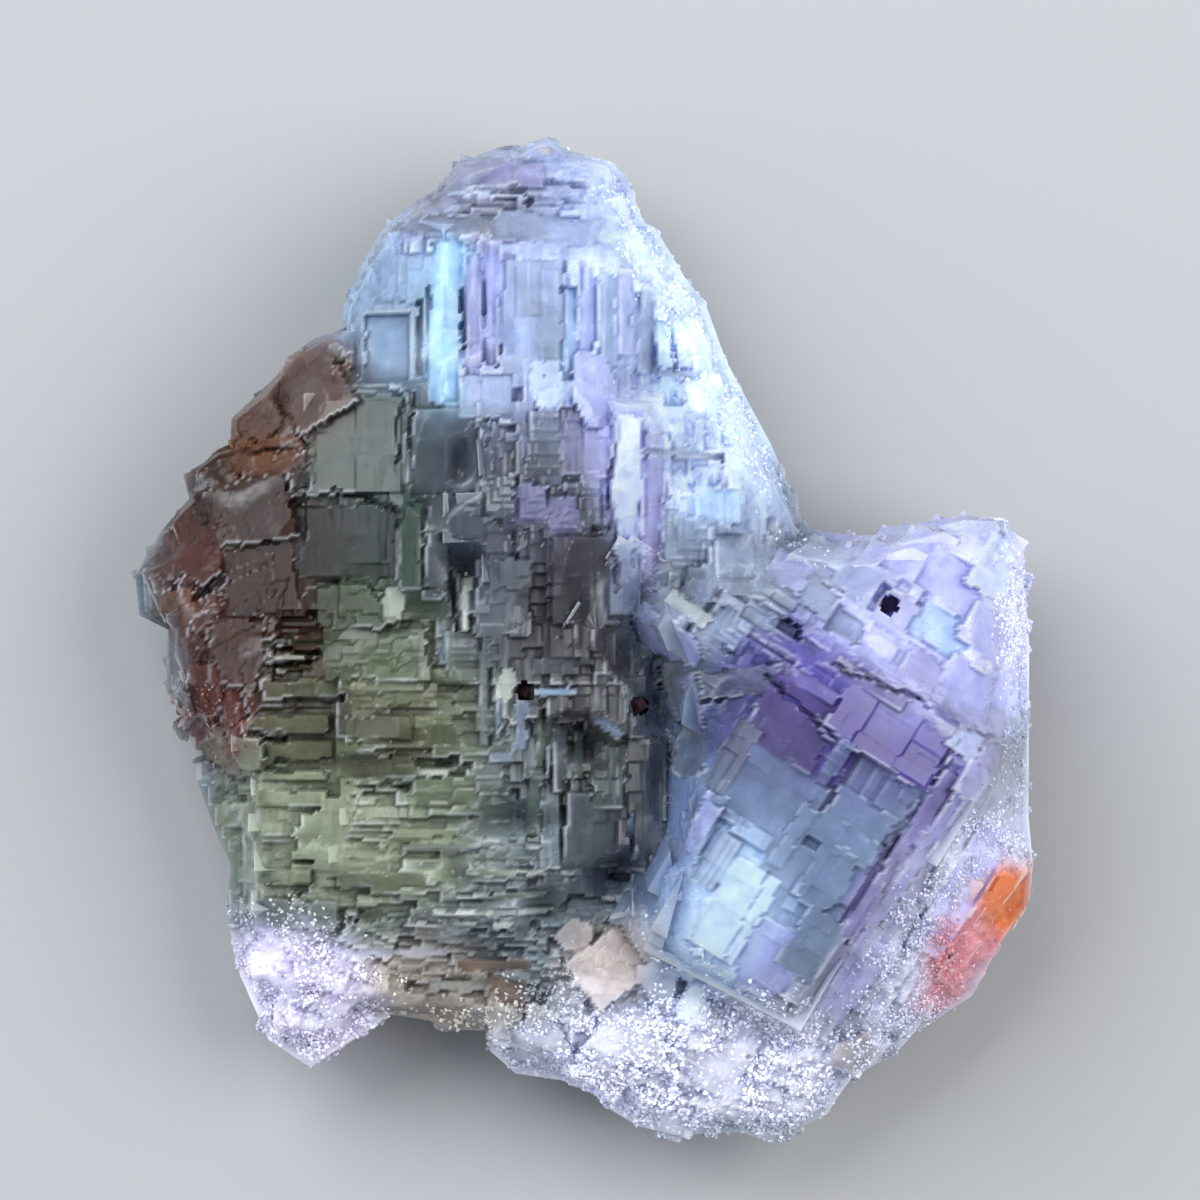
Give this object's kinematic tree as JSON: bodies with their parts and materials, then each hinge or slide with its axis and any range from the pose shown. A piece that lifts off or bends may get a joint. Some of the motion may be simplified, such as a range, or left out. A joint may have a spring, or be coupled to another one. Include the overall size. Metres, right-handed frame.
{
  "type": "fluorite specimen",
  "caption": "Small-cabinet fluorite specimen: intergrown stepped cubes rising to a columnar spire, with a turned cube, sugary foot and rust-stained rim, lying on its broken back.",
  "frame": {"origin": "bottom centre of the specimen's box, on the surface it lies on", "axes": "+Z from the resting surface through the front face, +Y towards the tip of the spire, +X to the right when looking down on the front face"},
  "size_m": [0.0672, 0.075, 0.0301],
  "materials": {
    "fluorite": "satin",
    "dark_mineral": "gloss"
  },
  "bodies": {
    "root": {"fluorite_cluster": "fluorite", "dark_grain_1": "dark_mineral", "dark_grain_2": "dark_mineral", "dark_grain_3": "dark_mineral"}
  },
  "joints": []
}
